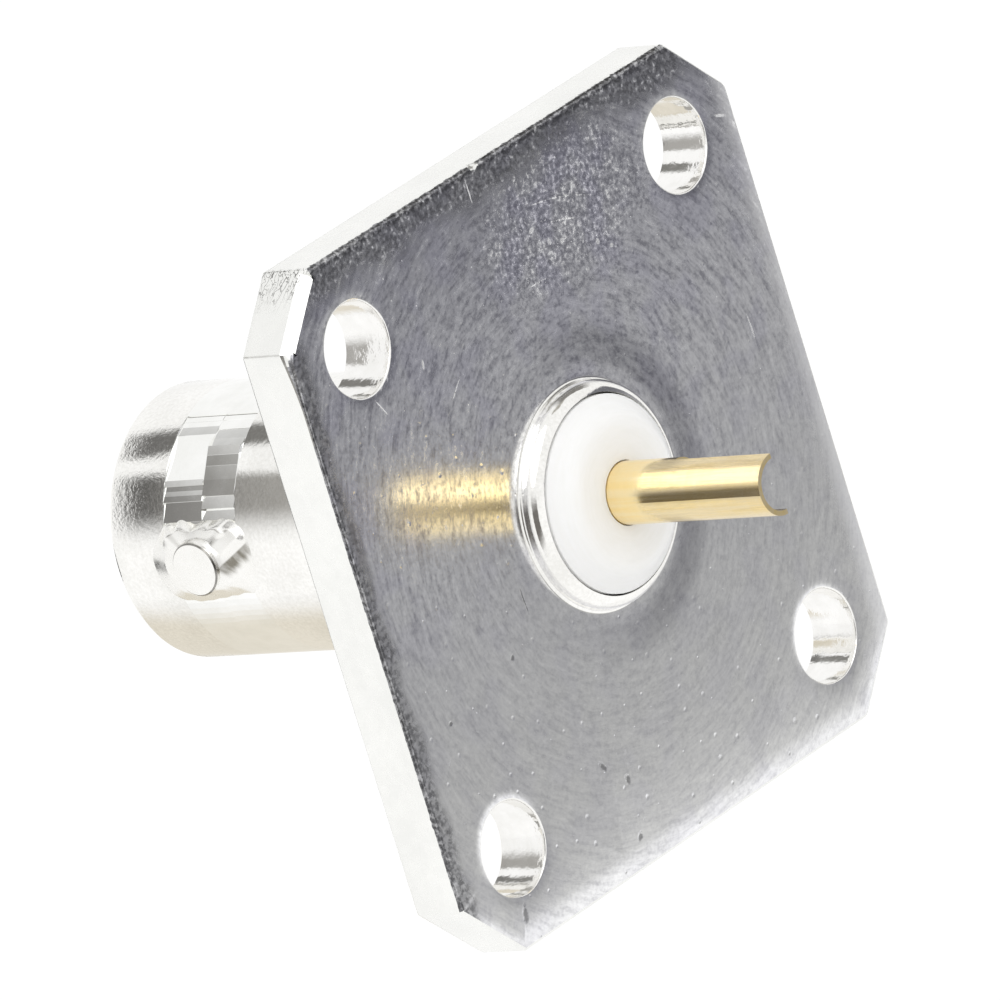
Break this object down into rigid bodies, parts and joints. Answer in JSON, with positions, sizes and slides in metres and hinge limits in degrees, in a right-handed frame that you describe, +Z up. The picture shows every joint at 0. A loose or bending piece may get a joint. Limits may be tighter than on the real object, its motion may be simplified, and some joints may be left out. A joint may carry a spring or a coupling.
{
  "type": "bayonet coaxial connector",
  "caption": "Square-flange panel receptacle with a bayonet barrel in front, a white plastic insulator in its rear collar and a gold-plated solder-cup tail.",
  "frame": {"origin": "centre of the flange face that lies on the panel, on the connector's axis", "axes": "-Y along the axis towards the mouth of the bayonet barrel, +Y towards the solder cup; X through the two bayonet lugs, with the open side of the solder cup to -X; +Z up"},
  "size_m": [0.0252, 0.0262, 0.0252],
  "materials": {
    "plated_metal": "polished",
    "white_insulation": "satin",
    "gold_plating": "polished"
  },
  "bodies": {
    "root": {"body": "plated_metal", "front_insulator": "white_insulation", "rear_insulator": "white_insulation", "center_contact": "gold_plating"}
  },
  "joints": []
}
